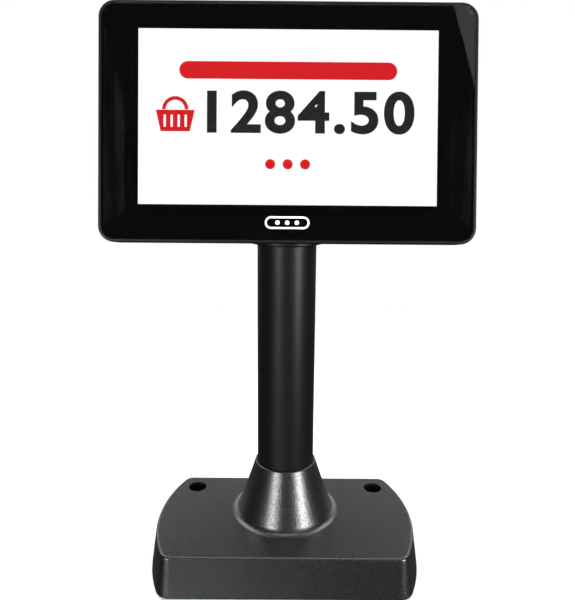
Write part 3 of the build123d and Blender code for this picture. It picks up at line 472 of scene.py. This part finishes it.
def board_green():
    """Solder mask over copper tracks."""
    s = Shader("board_green", (0.012, 0.075, 0.030), 0.34)
    tracks = s.node("ShaderNodeTexBrick", offset=0.5)
    tracks.inputs["Scale"].default_value = 260.0
    tracks.inputs["Mortar Size"].default_value = 0.035
    s.link(s.coord, tracks.inputs["Vector"])
    lines, cloud = tracks.outputs["Fac"], s.noise(90.0, 2.0)
    mask = s.blend(s.range(cloud, 0.3, 0.7, 0, 1), (0.009, 0.060, 0.024), (0.016, 0.090, 0.036))
    s.link(s.blend(lines, mask, (0.03, 0.16, 0.07)), "Base Color")
    s.link(s.range(cloud, 0.3, 0.7, 0.28, 0.42), "Roughness")
    s.bump(lines, 0.00003, 0.5)
    return s


def chip_black():
    return grained("chip_black", (0.020, 0.020, 0.021), 0.58, 2800.0, 0.00002)


def sink_black():
    return brushed("sink_black", (0.06, 0.06, 0.065), 0.40, 800.0, metal=0.9)


def ribbon(name, colour, rough, between, conductor):
    """Flat cable with its conductors showing through."""
    s = Shader(name, colour, rough)
    lines = s.node("ShaderNodeTexWave", bands_direction="X")
    lines.inputs["Scale"].default_value = 320.0
    s.link(s.coord, lines.inputs["Vector"])
    s.link(s.blend(lines.outputs["Fac"], between, conductor), "Base Color")
    s.bump(lines.outputs["Fac"], 0.00002, 0.5)
    return s


def ribbon_amber():
    return ribbon("ribbon_amber", (0.52, 0.22, 0.04), 0.32,
                  (0.40, 0.15, 0.025), (0.62, 0.30, 0.07))


def ribbon_white():
    return ribbon("ribbon_white", (0.74, 0.74, 0.72), 0.42,
                  (0.60, 0.60, 0.58), (0.80, 0.80, 0.78))


def friction_bronze():
    return brushed("friction_bronze", (0.50, 0.32, 0.16), 0.42)


FINISHES = [moulded_black, case_black, floor_black, powder_black, black_screw, zinc_steel, sheet_steel,
            bearing_white, brass, gold_contact, foot_rubber, grommet_rubber, lead_jacket, plug_white,
            jack_black, touch_glass, border_black, tape_grey, panel_glass, panel_tray, board_green,
            chip_black, sink_black, ribbon_amber, ribbon_white, friction_bronze]


def dress_nodes():
    """Gives every CAD node its finish, by the record's slot names."""
    made = {make.__name__: make().material for make in FINISHES}
    for node in frame["nodes"].values():
        for place in node.material_slots:
            place.material = made[place.material.name.split(".")[0]]


# ---------------------------------------------------------------- what the screen shows

def lit(name, colour, strength, speck):
    """Light from the panel, a little uneven as a real backlight is."""
    s = Shader(name, (0.002, 0.002, 0.002), 0.5)
    s.set("Specular IOR Level", 0.0)
    cloud = s.noise(14.0, 2.0)
    low = tuple(c * (1 - speck) for c in colour)
    s.link(s.blend(s.range(cloud, 0.3, 0.7, 0, 1), low, colour), "Emission Color")
    s.set("Emission Strength", strength)
    s.link(s.range(cloud, 0.3, 0.7, 0.45, 0.55), "Roughness")
    return s.material


def printed_white():
    s = Shader("print_white", (0.85, 0.85, 0.85), 0.5)
    s.set("Specular IOR Level", 0.0)
    dots = s.noise(2600.0, 1.0)
    s.link(s.blend(s.range(dots, 0.3, 0.7, 0, 1), (0.78, 0.78, 0.78), (0.90, 0.90, 0.90)), "Base Color")
    s.link(s.range(dots, 0.3, 0.7, 0.45, 0.6), "Roughness")
    return s.material


def curve_piece(name, loops, front, thickness, material):
    """Flat sheet in the head's plane, cut to closed loops of (across, up) points, in metres."""
    data = bpy.data.curves.new(name, "CURVE")
    data.dimensions = "2D"
    data.fill_mode = "BOTH"
    data.extrude = thickness / 2
    for loop in loops:
        line = data.splines.new("POLY")
        line.points.add(len(loop) - 1)
        for point, (x, z) in zip(line.points, loop):
            point.co = (x, z, 0, 1)
        line.use_cyclic_u = True
    flat_piece(name, data, front + thickness / 2, material)


def text_piece(name, body, size, middle, front, thickness, material, bold, widen):
    """Generic digits in the head's plane."""
    data = bpy.data.curves.new(name, "FONT")
    data.body = body
    data.size = size
    data.align_x, data.align_y = "CENTER", "CENTER"
    data.offset = bold
    data.extrude = thickness / 2
    data.space_character = 1.12
    flat_piece(name, data, front + thickness / 2, material, middle, widen)


def flat_piece(name, data, depth, material, middle=(0, 0), widen=1.0):
    """Turns a flat curve or text into a mesh that lies in the head at a depth."""
    source = bpy.data.objects.new(name + "_line", data)
    bpy.context.scene.collection.objects.link(source)
    bpy.context.view_layer.update()
    shaped = source.evaluated_get(bpy.context.evaluated_depsgraph_get())
    mesh = bpy.data.meshes.new_from_object(shaped)
    bpy.data.objects.remove(source)
    upright = Matrix(((widen, 0, 0, middle[0]), (0, 0, -1, depth),
                      (0, 1, 0, middle[1]), (0, 0, 0, 1)))
    mesh.transform(HEAD @ upright)
    mesh.materials.clear()
    mesh.materials.append(material)
    piece = bpy.data.objects.new(name, mesh)
    bpy.context.scene.collection.objects.link(piece)
    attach(piece, "head")


def arc(middle, radius, start, end, steps):
    x, z = middle
    turns = [math.radians(start + (end - start) * i / steps) for i in range(steps + 1)]
    return [(x + radius * math.cos(a), z + radius * math.sin(a)) for a in turns]


def pill(middle, width, height, corner, steps=10):
    """Rounded rectangle as a closed loop."""
    x, z = middle
    w, h = width / 2 - corner, height / 2 - corner
    corners = ((w, -h, -90), (w, h, 0), (-w, h, 90), (-w, -h, 180))
    loop = []
    for dx, dz, start in corners:
        loop += arc((x + dx, z + dz), corner, start, start + 90, steps)
    return loop


def disc(middle, radius):
    return arc(middle, radius, 0, 360, 48)[:-1]


def make_screen():
    """White page with generic digits, a basket and a bar, seen through the window."""
    low, high = window()
    middle = (low + high) / 2
    width, height = high - low
    print_back = depth_range(BORDER)[1]
    cell_front = depth_range(CELL)[0]
    room = cell_front - print_back
    page = lit("page_white", (1.0, 1.0, 1.0), 1.12, 0.02)
    ink = lit("page_ink", (0.014, 0.014, 0.0145), 1.0, 0.10)
    red = lit("page_red", (0.74, 0.008, 0.012), 1.0, 0.05)
    margin = 0.4 * MM
    sheet = 0.3 * room
    front = print_back + 0.35 * room
    layer = 0.1 * room
    x, z = middle
    unit = width / 154  # a millimetre, at the display's nominal width
    outline = pill(middle, width + 2 * margin, height + 2 * margin, margin)
    curve_piece("screen_page", [outline], front, sheet, page)
    at = front - layer
    text_piece("screen_digits", "1284.50", 29 * unit, (x + 9 * unit, z + 1.5 * unit), at, layer,
               ink, bold=0.9 * unit, widen=1.08)
    bar = [pill((x, z + 24 * unit), 112 * unit, 9 * unit, 4.5 * unit)]
    curve_piece("screen_bar", bar, at, layer, red)
    basket_at(x - 58 * unit, z + 0.5 * unit, unit, at, layer, red)
    dots = [disc((x + (i - 1) * 9 * unit, z - 24 * unit), 2.6 * unit) for i in range(3)]
    curve_piece("screen_dots", dots, at, layer, red)


def basket_at(x, z, unit, front, layer, material):
    """Shopping basket pictogram."""
    body = [(x - 10 * unit, z + 3 * unit), (x - 7.5 * unit, z - 8 * unit), (x + 7.5 * unit, z - 8 * unit),
            (x + 10 * unit, z + 3 * unit)]
    slits = []
    for i in range(4):
        middle = (x + (i - 1.5) * 3.6 * unit, z - 2.6 * unit)
        slits.append(pill(middle, 1.2 * unit, 6.4 * unit, 0.6 * unit))
    handle = arc((x, z + 3.2 * unit), 6.8 * unit, 0, 180, 24)
    handle += arc((x, z + 3.2 * unit), 4.9 * unit, 180, 0, 24)
    curve_piece("screen_basket", [body] + slits, front, layer, material)
    curve_piece("screen_basket_handle", [handle], front, layer, material)


def make_mark():
    """Small plain mark printed under the screen, in place of the maker's."""
    low, high = window()
    foot = span((HEAD.inverted() @ v.co).z for v in frame["nodes"][GLASS].data.vertices)[0]
    z = (low.y + foot) / 2
    x = (low.x + high.x) / 2
    thick = 0.05 * MM
    front = depth_range(BORDER)[0] - 0.02 * MM - thick
    ring = [pill((x, z), 23 * MM, 6.4 * MM, 3.2 * MM), pill((x, z), 21.2 * MM, 4.6 * MM, 2.3 * MM)]
    dots = [disc((x + (i - 1) * 5 * MM, z), 1.1 * MM) for i in range(3)]
    curve_piece("glass_mark", ring + dots, front, thick, printed_white())


# ---------------------------------------------------------------- build

make_camera()
make_world()
make_floor()
make_lights()
dress_nodes()
make_screen()
make_mark()

bpy.context.scene.view_settings.view_transform = "Standard"
